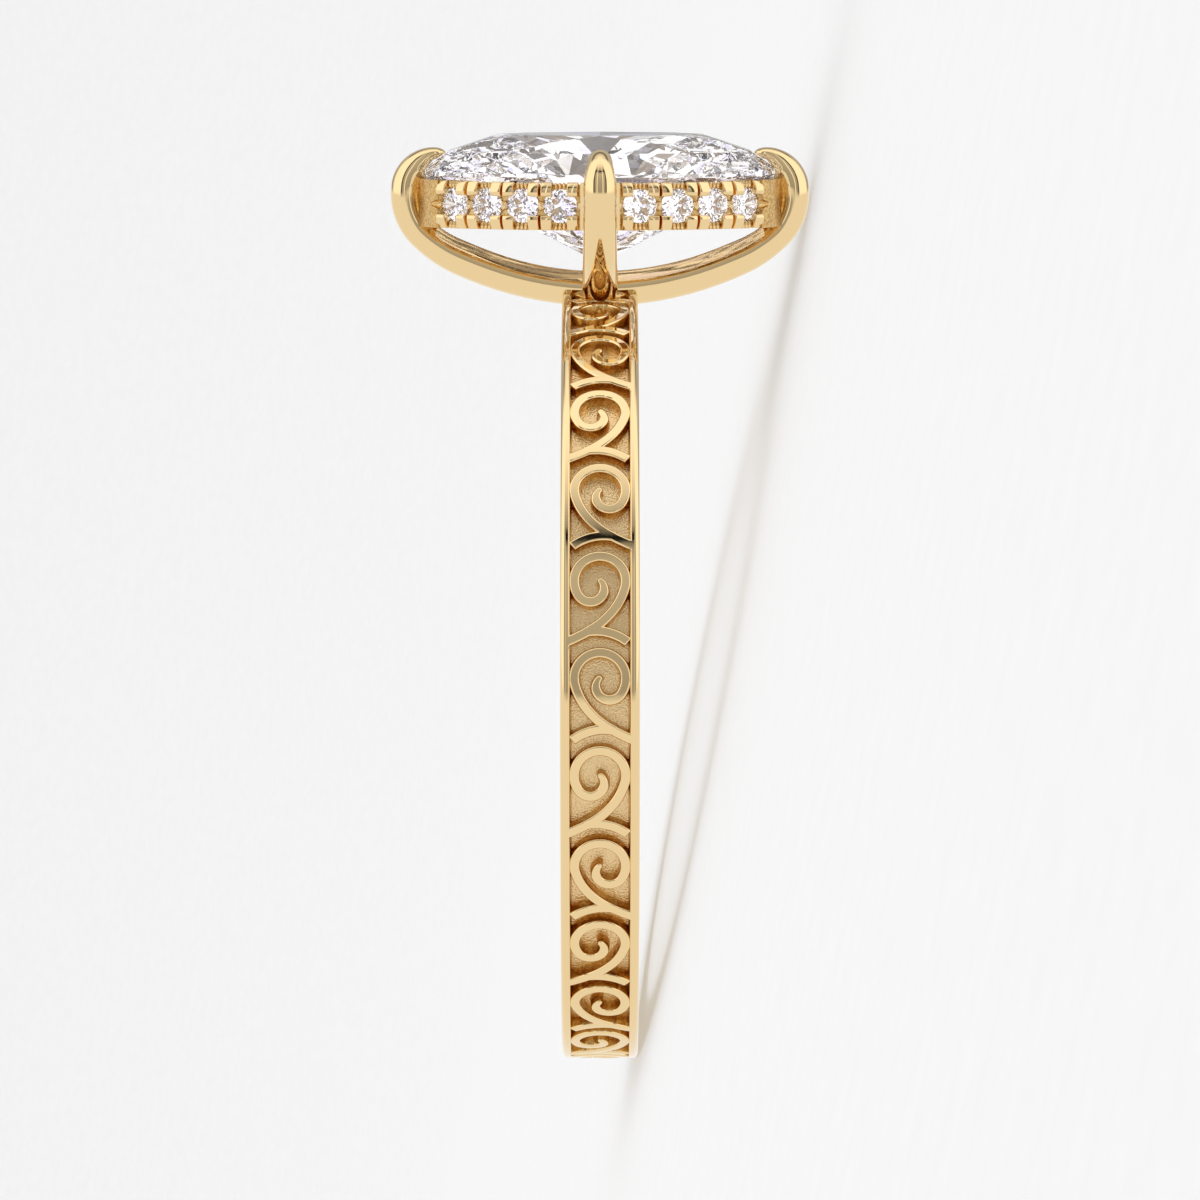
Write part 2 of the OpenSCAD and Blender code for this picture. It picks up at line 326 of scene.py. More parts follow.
def arch_outline(wider):
    """The bar under a scroll, which springs from one rim and ends short of the other."""
    first, last = (degrees(asin((x - ARCH_TOP[0]) / ARCH_R)) for x in (ARCH_LEFT, ARCH_RIGHT))
    start = (ARCH_TOP[0] + ARCH_R * sin(radians(first)),
             ARCH_TOP[1] - ARCH_R * (1 - cos(radians(first))), -first)
    line = [start] + chain(start, [(ARCH_R, last - first)], 1)
    return strip_outline(line, [STRIP_W] * len(line), wider)


def raised(name, outline):
    """A strip with sloping sides and rounded upper edges, that ends within the rim it runs into."""
    foot, top = outline(DRAFT), outline(0)
    part = draw(name, [(x, y, GROUND_R - STRIP_ROOT) for x, y in foot])
    bpy.ops.mesh.extrude_region_move(
        TRANSFORM_OT_translate={"value": (0, 0, GROUND_DEPTH + STRIP_ROOT)})
    mode("OBJECT")
    for v in part.data.vertices:
        if v.co.z > GROUND_R:
            v.co.xy = min(zip(foot, top), key=lambda pair: (Vector(pair[0]) - v.co.xy).length)[1]
    pick(part, "edges", lambda e: all(v.co.z > RIM_R - NEAR for v in e.verts))
    bpy.ops.mesh.bevel(offset=EDGE_ROUND, segments=EDGE_STEPS, clamp_overlap=False)
    bpy.ops.mesh.select_all(action="SELECT")
    bpy.ops.mesh.bisect(plane_co=(-STRIP_REACH, 0, 0), plane_no=(1, 0, 0), clear_inner=True,
                        use_fill=True)
    outwards(part)
    return part


def band_bar(low, high):
    """A straight length of the band, with its two rims over the sunk ground."""
    half, inner = BAND_W / 2, BAND_W / 2 - RIM_W
    side = [(half, FINGER_R), (half, RIM_R), (inner, RIM_R), (inner - DRAFT, GROUND_R)]
    section = side + [(-x, z) for x, z in side[::-1]]
    part = draw("band", [(x, low, z) for x, z in section])
    bpy.ops.mesh.extrude_region_move(TRANSFORM_OT_translate={"value": (0, high - low, 0)})
    for edge_x, edge_z, width, steps in ((half, FINGER_R, INNER_ROUND, ROUND_STEPS),
                                         (half, RIM_R, OUTER_ROUND, ROUND_STEPS),
                                         (inner, RIM_R, EDGE_ROUND, EDGE_STEPS)):
        pick(part, "edges", lambda e: all(
            abs(abs(v.co.x) - edge_x) < NEAR and abs(v.co.z - edge_z) < NEAR for v in e.verts)
            and abs(e.verts[0].co.y - e.verts[1].co.y) > NEAR)
        bpy.ops.mesh.bevel(offset=width, segments=steps, clamp_overlap=False)
    outwards(part)
    return part


def band():
    """Two scrolls are raised on a straight bar, which is bent to the ring's curve and repeated."""
    step = tau * RIM_R / SCROLLS
    part = band_bar(-2 * step, step)
    scroll, arch = raised("scroll", scroll_outline), raised("arch", arch_outline)
    for k in range(-1, 3):
        for strip in (scroll, arch):
            cutter = copied(strip)
            if k % 2 == 0:
                cutter.data.transform(Matrix.Scale(-1, 4, (1, 0, 0)))
                cutter.data.flip_normals()
            cutter.data.transform(Matrix.Translation((0, -k * step, 0)))
            modify(part, "BOOLEAN", object=cutter, operation="UNION", solver="EXACT")
            removed(cutter)
    removed(scroll)
    removed(arch)
    # The bar is cut off to two scrolls' length, and then across where it will bend
    low, high = -1.5 * step, 0.5 * step
    mode("EDIT")
    for end, keep in ((low, "clear_inner"), (high, "clear_outer")):
        bpy.ops.mesh.select_all(action="SELECT")
        bpy.ops.mesh.bisect(plane_co=(0, end, 0), plane_no=(0, 1, 0), threshold=SAME, **{keep: True})
    for k in range(1, 2 * BAND_FACES_PER_SCROLL):
        bpy.ops.mesh.select_all(action="SELECT")
        bpy.ops.mesh.bisect(plane_co=(0, (k / BAND_FACES_PER_SCROLL - 1.5) * step, 0),
                            plane_no=(0, 1, 0), threshold=SAME)
    mode("OBJECT")
    between_rims = BAND_W / 2 - RIM_W + NEAR
    for face in part.data.polygons:
        x, z = abs(face.center.x), face.center.z
        if abs(z - GROUND_R) < NEAR and face.normal.z > FACING:
            face.material_index = GROUND
        # The walls between the ground and the tops take the coat darkened as painted shade
        elif GROUND_R < z < RIM_R - EDGE_ROUND and x < between_rims:
            face.material_index = CUT
    for v in part.data.vertices:
        angle = radians(FIRST_SCROLL) + v.co.y / RIM_R
        v.co = (v.co.x, -v.co.z * cos(angle), v.co.z * sin(angle))
    mode("EDIT")
    bpy.ops.mesh.select_all(action="SELECT")
    for k in range(SCROLLS // 2 - 1):
        bpy.ops.mesh.duplicate()
        turn(2 * 360 / SCROLLS, "X")
    bpy.ops.mesh.select_all(action="SELECT")
    bpy.ops.mesh.remove_doubles(threshold=WELD)
    mode("OBJECT")
    return part


def oval_brilliant():
    """The centre stone: facets laid over rings of corners, each turned against the one above."""
    rings = []
    for count, first, share, height in STONE_RINGS:
        bpy.ops.mesh.primitive_circle_add(vertices=count, radius=1, rotation=(0, 0, radians(first)))
        rings.append(bpy.context.object)
        bpy.ops.object.transform_apply()
        rings[-1].data.transform(Matrix.Translation((0, 0, height)) @ Matrix.Scale(share, 4))
        if share == 1:
            # The 16 flat halves over and under the girdle leave its edges scalloped
            corner = cos(radians(HALF_FACET))
            if height > 0:
                reach, top = UPPER_HALVES[2:]
            else:
                reach, top = LOWER_HALVES[2] * corner, LOWER_HALVES[3]
            for v in rings[-1].data.vertices:
                round_it = degrees(atan2(v.co.y, v.co.x))
                from_middle = radians(round_it % (2 * HALF_FACET) - HALF_FACET)
                v.co.z -= (top - height) * (cos(from_middle) - corner) / (corner - reach)
        rings[-1].data.transform(Matrix.Translation((0, 0, GIRDLE_Z))
                                 @ Matrix.Diagonal((STONE_L / 2, STONE_W / 2, 1, 1)))
    stone = joined("oval_brilliant", rings)
    mode("EDIT")
    bpy.ops.mesh.select_all(action="SELECT")
    bpy.ops.mesh.convex_hull(join_triangles=True, face_threshold=radians(FLAT))
    outwards(stone)
    return stone


def seat_for(stone):
    """A cutter for the seat of the centre stone, a hair wider than the stone."""
    seat = copied(stone)
    seat.data.transform(Matrix.Translation((0, 0, GIRDLE_Z * (1 - STONE_GAP)))
                        @ Matrix.Scale(STONE_GAP, 4))
    return seat


def claw_wire(name, arcs, around, stone):
    """Half a wire is drawn out ring by ring along its arcs, tapering to the claw, and mirrored."""
    rings = [(0, WIRE_Z, 0, WIRE_HALF_W, WIRE_HALF_D)]
    for radius, end, half_w, half_d in arcs:
        x, z, heading, w, d = rings[-1]
        steps = ceil((end - heading) / WIRE_STEP)
        for k in range(1, steps + 1):
            place = along((x, z, heading), -radius, -(end - heading) * k / steps)
            rings.append((*place, w + (half_w - w) * k / steps, d + (half_d - d) * k / steps))
    x, z, heading, w, d = rings[-1]
    for a in TIP_ANGLES:
        ahead, share = TIP_L * sin(radians(a)), cos(radians(a))
        tip_x, tip_z = beside((x, z, heading), d * (1 - share))
        rings.append((tip_x + ahead * cos(radians(heading)), tip_z + ahead * sin(radians(heading)),
                      heading, w * share, d * share))
    bpy.ops.mesh.primitive_circle_add(vertices=WIRE_SIDES, radius=1, rotation=(0, pi / 2, 0))
    part = bpy.context.object
    part.name = name
    bpy.ops.object.transform_apply(location=False)
    mode("EDIT")
    before = None
    for x, z, heading, w, d in rings:
        centre = Vector((x - d * sin(radians(heading)), 0, z + d * cos(radians(heading))))
        if before:
            bpy.ops.mesh.extrude_edges_move(TRANSFORM_OT_translate={"value": centre - before[0]})
            turn(before[1], "Y", centre)
        else:
            before = (centre, 0, 1, 1)
            bpy.ops.transform.translate(value=centre)
        bpy.ops.transform.resize(value=(1, w / before[2], d / before[3]), center_override=centre)
        turn(-heading, "Y", centre)
        before = (centre, heading, w, d)
    bpy.ops.mesh.extrude_edges_move()
    bpy.ops.mesh.merge(type="CENTER")
    modify(part, "MIRROR", use_axis=(True, False, False), use_bisect_axis=(True, False, False),
           merge_threshold=WELD)
    outwards(part)
    modify(part, "SUBSURF", levels=1, render_levels=1)
    part.data.transform(Matrix.Rotation(radians(around), 4, "Z"))
    return bored(part, [seat_for(stone)])


def rail_place(quarter, s):
    """The turn and place of a setting that stands at length s along a quarter of the oval rail."""
    side = SIDE_R * TURN
    angle = s / SIDE_R if s < side else TURN + (s - side) / END_R
    radius, x, y = (SIDE_R, 0, SIDE_Y) if angle < TURN else (END_R, END_X, 0)
    place = Matrix.Translation((x + radius * sin(angle), y - radius * cos(angle), RAIL_Z))
    flips = Matrix.Diagonal((-1 if quarter % 2 else 1, -1 if quarter > 1 else 1, 1, 1))
    return flips @ place @ Matrix.Rotation(angle, 4, "Z")


def rail_wall(name, outside, inside, start, end):
    """A length of each quarter of the rail's wall, its section swept along the oval."""
    high = RAIL_H / 2
    section = [(0, outside, -high), (0, inside, -high), (0, inside, high), (0, outside, high)]
    part = draw(name, section)
    bpy.ops.mesh.delete(type="ONLY_FACE")
    mode("OBJECT")
    part.data.transform(rail_place(0, start))
    mode("EDIT")
    bpy.ops.mesh.select_all(action="SELECT")
    corner = SIDE_R * TURN
    for low, high, radius, centre in ((0, corner, SIDE_R, (0, SIDE_Y, 0)),
                                      (corner, end, END_R, (END_X, 0, 0))):
        a, b = max(start, low), min(end, high)
        if a < b:
            angle = (b - a) / radius
            steps = max(1, ceil(angle / radians(RAIL_STEP)))
            bpy.ops.mesh.spin(steps=steps, angle=-angle, center=centre, axis=(0, 0, 1),
                              use_normal_flip=False)
    modify(part, "MIRROR", use_axis=(True, True, False), merge_threshold=WELD)
    mode("EDIT")
    bpy.ops.mesh.select_all(action="SELECT")
    bpy.ops.mesh.fill_holes(sides=4)
    outwards(part)
    return part


def block():
    """A corner block over a stone: its face crowned, its corner at the stone cut round."""
    width, height = PITCH / 2 - SLIT / 2 - BLOCK_IN, RAIL_H / 2 - BLOCK_LOW
    back = SUNK + BLOCK_ROOT
    face = []
    for k in range(FACE_STEPS + 1):
        rise = height * k / FACE_STEPS - BLOCK_APEX
        face.append((BLOCK_IN, (BLOCK_FALL if rise > 0 else BLOCK_LIP) * rise ** 2,
                     BLOCK_LOW + height * k / FACE_STEPS))
    part = draw("block", face + [(BLOCK_IN, back, BLOCK_LOW + height), (BLOCK_IN, back, BLOCK_LOW)])
    bpy.ops.mesh.extrude_region_move(TRANSFORM_OT_translate={"value": (width, 0, 0)})
    pick(part, "edges", lambda e: all(
        v.co.x < BLOCK_IN + NEAR and v.co.z < BLOCK_LOW + NEAR for v in e.verts))
    bpy.ops.mesh.bevel(offset=BLOCK_CORNER, segments=EDGE_STEPS, clamp_overlap=False)
    pick(part, "edges", lambda e: all(v.co.y < back - BLOCK_CORNER for v in e.verts)
         and e.calc_face_angle(0) > SHARP)
    bpy.ops.mesh.bevel(offset=BLOCK_ROUND, segments=3, clamp_overlap=False)
    mode("OBJECT")
    return part


def bead(place, size):
    """A bead of metal raised with a graver and rounded with a beading tool."""
    bpy.ops.mesh.primitive_uv_sphere_add(segments=12, ring_count=8, radius=1, location=place,
                                         scale=size)
    part = bpy.context.object
    bpy.ops.object.transform_apply()
    return part


def setting(name):
    """The blocks, beads and ribs that hold one small stone, which is at the origin and faces -Y."""
    corner = block()
    parts = [corner]
    for x, z in ((-1, 1), (1, -1), (-1, -1)):
        parts.append(copied(corner))
        parts[-1].data.transform(Matrix.Diagonal((x, 1, z, 1)))
    apart, over = BEAD_SIZE[0] * BEAD_APART, HALO_D / 2 + BEAD_SIZE[2] * BEAD_OVER
    parts += [bead((x * apart, HALO_DEPTH - BEAD_SUNK, z * over), BEAD_SIZE)
              for x in (-1, 0, 1) for z in (-1, 1)]
    parts += [bead((x * PITCH / 2, HALO_DEPTH - RIB_SUNK, 0), RIB_SIZE) for x in (-1, 1)]
    # What stands highest is sloped off at the back, clear of the centre stone
    for part in parts:
        bpy.context.view_layer.objects.active = part
        mode("EDIT")
        bpy.ops.mesh.select_all(action="SELECT")
        bpy.ops.mesh.bisect(plane_co=(0, SEAT_DEPTH, RAIL_H / 2), plane_no=(0, 1, SEAT_SLOPE),
                            clear_outer=True, use_fill=True)
        mode("OBJECT")
    return joined(name, parts)


def cone(place, radius, tip, depth, location, rotation):
    """A cutter made at the origin and carried to its place on the rail."""
    bpy.ops.mesh.primitive_cone_add(vertices=32, radius1=radius, radius2=tip, depth=depth,
                                    location=location, rotation=rotation)
    part = bpy.context.object
    bpy.ops.object.transform_apply()
    part.data.transform(place)
    return part


def halo_rail(stone):
    """The oval wall and its plain lengths, with a setting and a bored seat for each small stone."""
    ends = SIDE_R * TURN + END_R * (pi / 2 - TURN)
    row_end = PLAIN_S + PER_QUARTER * PITCH
    places = [rail_place(quarter, PLAIN_S + (k + 0.5) * PITCH)
              for quarter in range(4) for k in range(PER_QUARTER)]
    core = bored(rail_wall("core", SUNK, RAIL_T, 0, ends), [seat_for(stone)])
    core = bored(core, [cone(place, HALO_D / 2 + BORE_WIDER, BORE_TIP, BORE_L,
                             (0, HALO_DEPTH + BORE_BEHIND, 0), (-pi / 2, 0, 0)) for place in places])
    plain_end = bored(rail_wall("plain_end", 0, SUNK + WALL_ROOT, row_end - SLIT, ends), [
        cone(rail_place(quarter, row_end + CUT_L / 2 - BLOCK_IN), CUT_R, CUT_TIP, CUT_L,
             (0, 0, 0), (0, pi / 2, 0)) for quarter in range(4)])
    plain_end = bored(plain_end, [seat_for(stone)])
    plain_side = bored(rail_wall("plain_side", 0, SUNK + WALL_ROOT, 0, PLAIN_S - SLIT / 2),
                       [seat_for(stone)])
    holder = setting("setting")
    settings = []
    for place in places:
        settings.append(copied(holder))
        settings[-1].data.transform(place)
    removed(holder)
    settings = joined("settings", settings)
    outwards(settings)
    # Both coats are named here, so that joining keeps the unbuffed walls in their own, whose darker
    # colour is painted shade
    for wall in (core, plain_end):
        for face in wall.data.polygons:
            face.material_index = CORE_CUT
    for part in (core, plain_end, plain_side, settings):
        dress(part, buffed, in_cuts)
    return joined("halo_rail", [core, plain_end, plain_side, settings])


def lathe_true(part):
    """Shades the faces that the lathe turned as true cylinders, whatever the cuts across them."""
    mesh, upright = part.data, LAID.inverted()
    normals = [corner.vector.copy() for corner in mesh.corner_normals]
    for face in mesh.polygons:
        for corner in face.loop_indices:
            there = upright @ mesh.vertices[mesh.loops[corner].vertex_index].co
            outward = Vector((0, there.y, there.z))
            laid = (LAID.to_3x3() @ outward).normalized()
            turned = min(abs(outward.length - r) for r in (RIM_R, GROUND_R)) < NEAR
            if turned and normals[corner].dot(laid) > FACING:
                normals[corner] = laid
    mesh.normals_split_custom_set(normals)


# Materials
def colour(code):
    """An sRGB hex colour as linear red, green, blue and alpha."""
    parts = [int(code[k:k + 2], 16) / 255 for k in (1, 3, 5)]
    return [c / 12.92 if c <= 0.04045 else ((c + 0.055) / 1.055) ** 2.4 for c in parts] + [1]


def node(tree, kind, inputs=None, stops=(), **settings):
    """Adds a node with its settings, a value or a link on each input, and any colour stops."""
    added = tree.nodes.new(kind)
    for name, value in settings.items():
        setattr(added, name, value)
    for name, value in (inputs or {}).items():
        if isinstance(value, bpy.types.NodeSocket):
            tree.links.new(value, added.inputs[name])
        else:
            added.inputs[name].default_value = value
    for _ in stops[2:]:
        added.color_ramp.elements.new(0)
    for k, (place, code) in enumerate(stops):
        element = added.color_ramp.elements[k]
        element.position, element.color = place, colour(code)
    return added


def material(name):
    """A new material and its empty node tree."""
    made = bpy.data.materials.new(name)
    made.use_nodes = True
    made.node_tree.nodes.clear()
    return made, made.node_tree


def polished_gold():
    # 14 karat yellow gold, cast, filed and buffed with rouge: bright mirror-like faces, whose
    # reflections waver a little because a buffing wheel never leaves them quite flat
    made, tree = material("buffed 14 karat yellow gold")
    place = node(tree, "ShaderNodeTexCoord").outputs["Object"]
    swell = node(tree, "ShaderNodeTexNoise", {"Vector": place, "Scale": 1 / (1.1 * MM),
                                              "Detail": 1.0})
    grain = node(tree, "ShaderNodeTexNoise", {"Vector": place, "Scale": 1 / (0.12 * MM),
                                              "Detail": 3.0})
    soft = node(tree, "ShaderNodeBump", {"Height": swell.outputs["Fac"], "Strength": 0.25,
                                         "Distance": 0.03 * MM})
    fine = node(tree, "ShaderNodeBump", {"Height": grain.outputs["Fac"], "Strength": 0.12,
                                         "Distance": 0.004 * MM, "Normal": soft.outputs["Normal"]})
    wear = node(tree, "ShaderNodeMapRange", {"Value": grain.outputs["Fac"],
                                             "To Min": 0.02, "To Max": 0.07})
    shader = node(tree, "ShaderNodeBsdfPrincipled", {
        "Base Color": colour("#EBCF9C"), "Metallic": 1, "Roughness": wear.outputs["Result"],
        "Normal": fine.outputs["Normal"]})
    node(tree, "ShaderNodeOutputMaterial", {"Surface": shader.outputs[0]})
    return made


def stippled_gold():
    # The same gold between the scrolls, left with the fine pimpled skin of the casting and only
    # brushed: it glitters in small points and looks a shade deeper than the buffed faces
    made, tree = material("stippled cast gold")
    place = node(tree, "ShaderNodeTexCoord").outputs["Object"]
    pimples = node(tree, "ShaderNodeTexVoronoi", {"Vector": place, "Scale": 1 / (0.055 * MM)})
    skin = node(tree, "ShaderNodeTexNoise", {"Vector": place, "Scale": 1 / (0.035 * MM),
                                             "Detail": 2.0})
    coarse = node(tree, "ShaderNodeBump", {"Height": pimples.outputs["Distance"], "Strength": 0.75,
                                           "Distance": 0.014 * MM}, invert=True)
    fine = node(tree, "ShaderNodeBump", {"Height": skin.outputs["Fac"], "Strength": 0.8,
                                         "Distance": 0.015 * MM, "Normal": coarse.outputs["Normal"]})
    shader = node(tree, "ShaderNodeBsdfPrincipled", {
        "Base Color": colour("#E6C795"), "Metallic": 1, "Roughness": 0.26,
        "Normal": fine.outputs["Normal"]})
    node(tree, "ShaderNodeOutputMaterial", {"Surface": shader.outputs[0]})
    return made


def cut_gold():
    # The steep walls between ground and scrolls, which no buff reaches: cast skin whose colour is
    # painted darker in uneven patches, as shade in the cuts, so that the scrolls stand in thin brown
    # outlines
    made, tree = material("unbuffed cast gold in the cuts")
    place = node(tree, "ShaderNodeTexCoord").outputs["Object"]
    skin = node(tree, "ShaderNodeTexNoise", {"Vector": place, "Scale": 1 / (0.07 * MM),
                                             "Detail": 3.0})
    # Painted shade: the walls' colour runs from dark to mid gold in noise patches, darker than the
    # buffed faces
    painted_shade_in_cuts = node(tree, "ShaderNodeValToRGB", {"Fac": skin.outputs["Fac"]},
                [(0.35, "#BC9050"), (0.7, "#E6C688")])
    bumps = node(tree, "ShaderNodeBump", {"Height": skin.outputs["Fac"], "Strength": 0.3,
                                          "Distance": 0.01 * MM})
    shader = node(tree, "ShaderNodeBsdfPrincipled", {
        "Base Color": painted_shade_in_cuts.outputs["Color"], "Metallic": 1, "Roughness": 0.22,
        "Normal": bumps.outputs["Normal"]})
    node(tree, "ShaderNodeOutputMaterial", {"Surface": shader.outputs[0]})
    return made


def diamond():
    # Cut diamond, clear and white, with sharp facets and strong inner reflections. The lap's
    # polishing lines are far finer than these, which are drawn coarse enough to show
    made, tree = material("brilliant cut diamond")
    place = node(tree, "ShaderNodeTexCoord").outputs["Object"]
    lines = node(tree, "ShaderNodeTexNoise", {"Vector": place, "Scale": 1 / (0.4 * MM),
                                              "Detail": 2.0})
    polish = node(tree, "ShaderNodeBump", {"Height": lines.outputs["Fac"], "Strength": 0.02,
                                           "Distance": 0.01 * MM})
    shader = node(tree, "ShaderNodeBsdfPrincipled", {
        "Base Color": colour("#FFFFFF"), "Roughness": 0, "IOR": 2.417, "Transmission Weight": 1,
        "Normal": polish.outputs["Normal"]})
    node(tree, "ShaderNodeOutputMaterial", {"Surface": shader.outputs[0]})
    return made


def pale_paper():
    # The studio's seamless roll of matt white paper, whose clumps of fibre show as faint clouds.
    # Its emission stands in for the fill light of a tent, which leaves the shadow soft and pale
    made, tree = material("matt white paper")
    place = node(tree, "ShaderNodeTexCoord").outputs["Object"]
    fibre = node(tree, "ShaderNodeTexNoise", {"Vector": place, "Scale": 1 / (1.1 * MM),
                                              "Detail": 3.0})
    white = node(tree, "ShaderNodeValToRGB", {"Fac": fibre.outputs["Fac"]},
                 [(0.3, "#CBCBCB"), (0.7, "#CECECE")])
    shader = node(tree, "ShaderNodeBsdfPrincipled", {
        "Base Color": white.outputs["Color"], "Roughness": 0.8,
        "Emission Color": colour("#FFFFFF"), "Emission Strength": 0.29})
    node(tree, "ShaderNodeOutputMaterial", {"Surface": shader.outputs[0]})
    return made


def dress(piece, *coats):
    """Gives a piece its materials, in the order of its faces' indices."""
    for coat in coats:
        piece.data.materials.append(coat)


buffed, stippled, in_cuts, clear = polished_gold(), stippled_gold(), cut_gold(), diamond()
brilliant = oval_brilliant()
for piece, coats in ((band(), (buffed, stippled, in_cuts)),
                     (claw_wire("long_claw_wire", LONG_WIRE, 0, brilliant), (buffed,)),
                     (claw_wire("short_claw_wire", SHORT_WIRE, 90, brilliant), (buffed,)),
                     (halo_rail(brilliant), ())):
    piece.data.transform(LAID)
    piece.select_set(True)
    bpy.context.view_layer.objects.active = piece
    bpy.ops.object.shade_smooth_by_angle(angle=radians(SMOOTH))
    piece.select_set(False)
    modify(piece, "WEIGHTED_NORMAL", keep_sharp=True)
    if piece.name == "band":
        lathe_true(piece)
    dress(piece, *coats)
    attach(piece, "root")
    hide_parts("mounting")
    # Clean stones show their own facets and the tent, and hide the gold behind them
    piece.visible_transmission = False
brilliant.data.transform(LAID)
dress(brilliant, clear)
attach(brilliant, "root")
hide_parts("centre_stone")
for name, stone in frame["nodes"].items():
    if name.startswith("halo_stone"):
        stone.data.materials.clear()
        dress(stone, clear)


# Studio: the ring lies on a roll of white paper that rises behind it
PAPER_W = 2
PAPER_AT = -0.4
PAPER_RISE = 1.2
PAPER_BEND = 0.35

# The tent round the upright ring. Its masks are black and white along a half turn from
# the front, on either side, or along a rise from the level of the finger hole, both in
# degrees; the open front has its own grey at each rise
TENT_POWER = 1.4
TABLE = "#DBDBDB"
BRIGHT = "#FBFBFB"
POST = "#505050"
BACKDROP = "#F6F6F6"
SCREENS = [(16, "#000000"), (17.5, "#FFFFFF"), (20.5, "#FFFFFF"), (22, "#000000"),
           (43, "#000000"), (45, "#FFFFFF"), (108, "#FFFFFF"), (126, "#000000")]
POSTS = [(34, "#000000"), (36, "#FFFFFF"), (43, "#FFFFFF"), (45, "#000000")]
OPEN_FRONT = [(2, "#979797"), (25, "#A9A9A9"), (38, "#B2B2B2"), (44.5, "#959595"),
              (46.5, "#181818"), (48.5, "#181818"), (51.5, "#929292"), (57, "#B5B5B5"),
              (64, "#D7D7D7"), (80, "#F7F7F7")]
UNDER_POST_TOPS = [(47, "#FFFFFF"), (50, "#000000")]
UNDER_TABLE_EDGE = [(-1, "#FFFFFF"), (1.5, "#000000")]

# What shows through the stones: how fine the patches are, and their colours
PATCHES = 3.5
PATCHWORK = [(0.25, "#43372E"), (0.46, "#8C7866"), (0.5, "#F6F4F3"), (0.72, "#FFFFFF"),
             (0.8, "#D9D2F8"), (0.88, "#FFFFFF")]


def paper_roll():
    """The seamless paper that the ring lies on, bent up behind it."""
    bpy.ops.mesh.primitive_plane_add(size=PAPER_W, location=(0, PAPER_AT, 0))
    paper = bpy.context.object
    paper.name = "paper_roll"
    bpy.ops.object.transform_apply()
    pick(paper, "edges", lambda e: all(v.co.y > 0 for v in e.verts))
    bpy.ops.mesh.extrude_region_move(TRANSFORM_OT_translate={"value": (0, 0, PAPER_RISE)})
    pick(paper, "edges", lambda e: all(v.co.y > 0 and v.co.z < NEAR for v in e.verts))
    bpy.ops.mesh.bevel(offset=PAPER_BEND, segments=24, clamp_overlap=False)
    mode("OBJECT")
    paper.data.shade_smooth()
    dress(paper, pale_paper())
    # The gold and the stones mirror the tent, as they would standing upright in it
    paper.visible_glossy = paper.visible_transmission = False


def softbox(name, place, target, size, power):
    """A lamp behind a cloth. The gold and the stones mirror the tent instead of it."""
    bpy.ops.object.light_add(type="AREA", location=place)
    lamp = bpy.context.object
    lamp.name = name
    lamp.data.shape = "RECTANGLE"
    lamp.data.size, lamp.data.size_y = size
    lamp.data.energy = power
    lamp.rotation_euler = (Vector(target) - Vector(place)).to_track_quat("-Z", "Y").to_euler()
    lamp.visible_glossy = lamp.visible_transmission = False


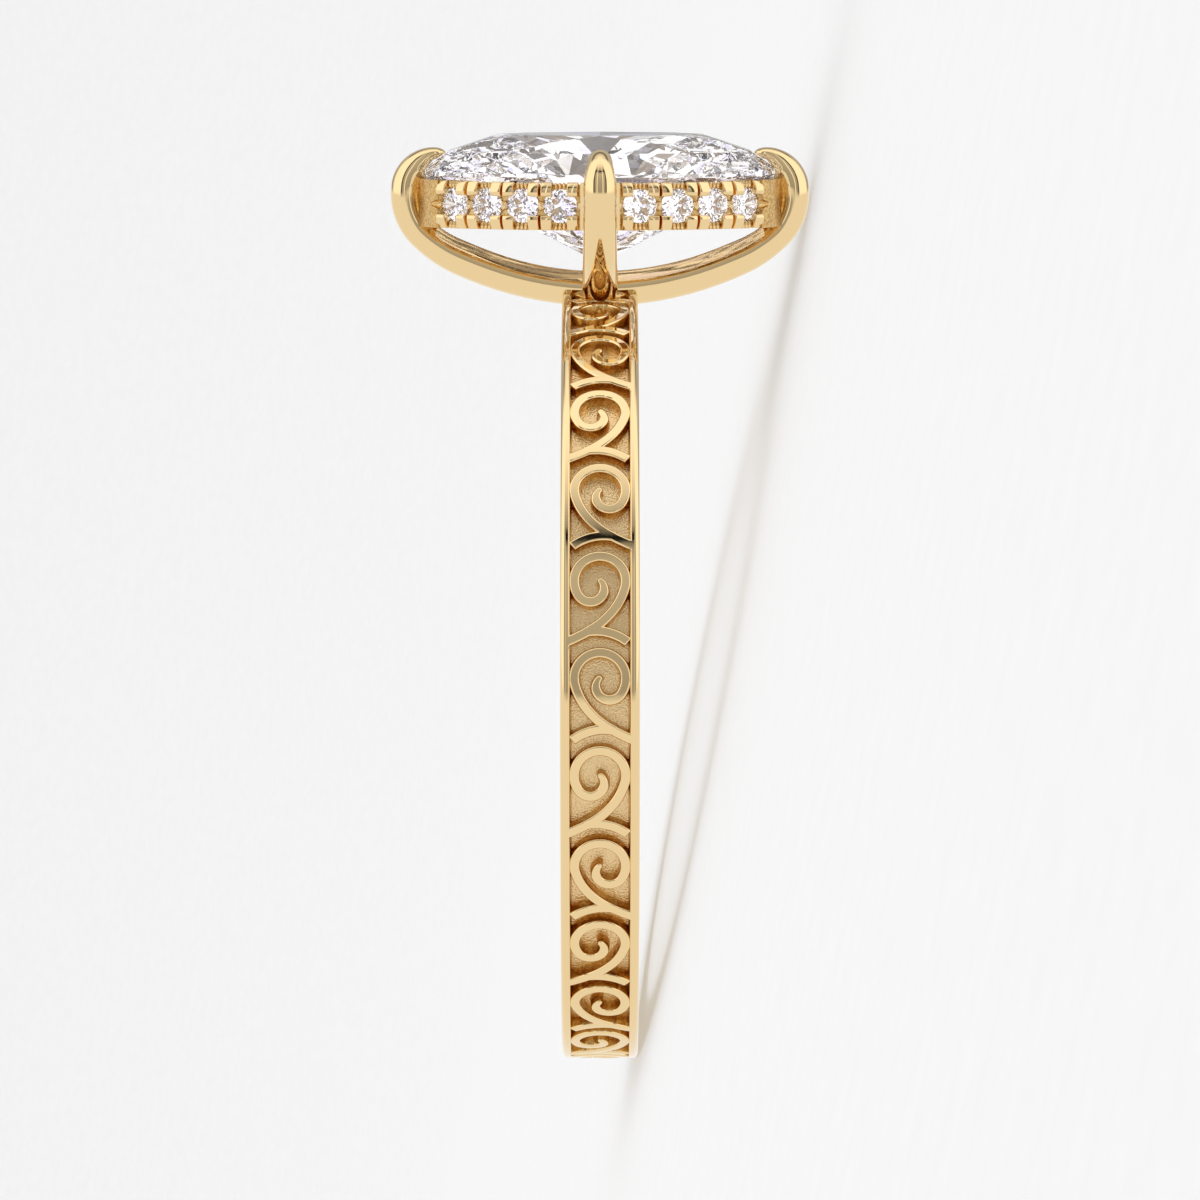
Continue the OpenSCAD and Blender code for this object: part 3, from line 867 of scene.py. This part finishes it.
def surroundings():
    """A white tent: a table, two side screens and their posts, an open front, a screen overhead."""
    world = bpy.data.worlds.new("white tent")
    bpy.context.scene.world = world
    world.use_nodes = True
    tree = world.node_tree
    tree.nodes.clear()
    way = node(tree, "ShaderNodeTexCoord").outputs["Generated"]
    right, ahead, up = (
        node(tree, "ShaderNodeVectorMath", {0: way, 1: axis}, operation="DOT_PRODUCT").outputs["Value"]
        for axis in (FINGER, -ACROSS, HEAD))
    sideways = node(tree, "ShaderNodeMath", {0: right}, operation="ABSOLUTE").outputs[0]
    turned = node(tree, "ShaderNodeMath", {0: sideways, 1: ahead}, operation="ARCTAN2").outputs[0]
    raised_by = node(tree, "ShaderNodeMath", {0: up}, operation="ARCSINE").outputs[0]
    half_turn, rise = (
        node(tree, "ShaderNodeMapRange", {"Value": value, "From Min": low, "From Max": high}).outputs[0]
        for value, low, high in ((turned, 0, pi), (raised_by, -pi / 2, pi / 2)))
    screens, posts, front, low, below = (
        node(tree, "ShaderNodeValToRGB", {"Fac": along_it},
             [(level + degree / 180, code) for degree, code in stops]).outputs["Color"]
        for along_it, level, stops in ((half_turn, 0, SCREENS), (half_turn, 0, POSTS),
                                       (rise, 0.5, OPEN_FRONT), (rise, 0.5, UNDER_POST_TOPS),
                                       (rise, 0.5, UNDER_TABLE_EDGE)))
    posts = node(tree, "ShaderNodeMath", {0: posts, 1: low}, operation="MULTIPLY").outputs[0]
    # Through the stones the tent shows as a patchwork of white cloth, lamps and a few dark gaps
    patches = node(tree, "ShaderNodeTexVoronoi", {"Vector": way, "Scale": PATCHES})
    shade = node(tree, "ShaderNodeSeparateColor", {"Color": patches.outputs["Color"]})
    cloth = node(tree, "ShaderNodeValToRGB", {"Fac": shade.outputs["Red"]}, PATCHWORK)
    paths = node(tree, "ShaderNodeLightPath")
    whole = front
    for mask, over in ((screens, colour(BRIGHT)), (posts, colour(POST)), (below, colour(TABLE)),
                       (paths.outputs["Is Transmission Ray"], cloth.outputs["Color"])):
        whole = node(tree, "ShaderNodeMix", {"Factor": mask, 6: whole, 7: over},
                     data_type="RGBA").outputs[2]
    room = node(tree, "ShaderNodeBackground", {"Color": whole, "Strength": TENT_POWER})
    plain = node(tree, "ShaderNodeBackground", {"Color": colour(BACKDROP), "Strength": 1.0})
    both = node(tree, "ShaderNodeMixShader", {"Fac": paths.outputs["Is Camera Ray"],
                                              1: room.outputs[0], 2: plain.outputs[0]})
    node(tree, "ShaderNodeOutputWorld", {"Surface": both.outputs[0]})


paper_roll()
surroundings()
softbox("top_softbox", place=(0, -0.1, 0.8), target=(0, 0, 0), size=(0.9, 0.9), power=0.05)
softbox("paper_softbox", place=(0, -0.5, 0.6), target=(0, 0.6, 0.2), size=(0.9, 0.5), power=0.1)

# Camera, where the photo's camera stands to the upright ring, laid down with it
CAMERA_PITCH = 6.37
CAMERA_AWAY = 155.2
CAMERA_AIM = 2.0
LENS = 172.95
looking = Vector((0, cos(radians(CAMERA_PITCH)), -sin(radians(CAMERA_PITCH))))
head = Vector((0, sin(radians(CAMERA_PITCH)), cos(radians(CAMERA_PITCH))))
eye = CAMERA_AIM * head - CAMERA_AWAY * looking
turned = LAID.to_3x3().normalized()
bpy.ops.object.camera_add()
camera = bpy.context.object
camera.matrix_world = (Matrix.Translation(LAID @ eye)
                       @ (turned @ Matrix(((1, 0, 0), head, -looking)).transposed()).to_4x4())
camera.data.lens = LENS
camera.data.sensor_width = 36
camera.data.clip_start = 0.001
camera.data.clip_end = 10
bpy.context.scene.camera = camera
bpy.context.scene.view_settings.view_transform = "Standard"
bpy.context.scene.cycles.max_bounces = 36
bpy.context.scene.cycles.transmission_bounces = 32
bpy.context.scene.cycles.glossy_bounces = 24
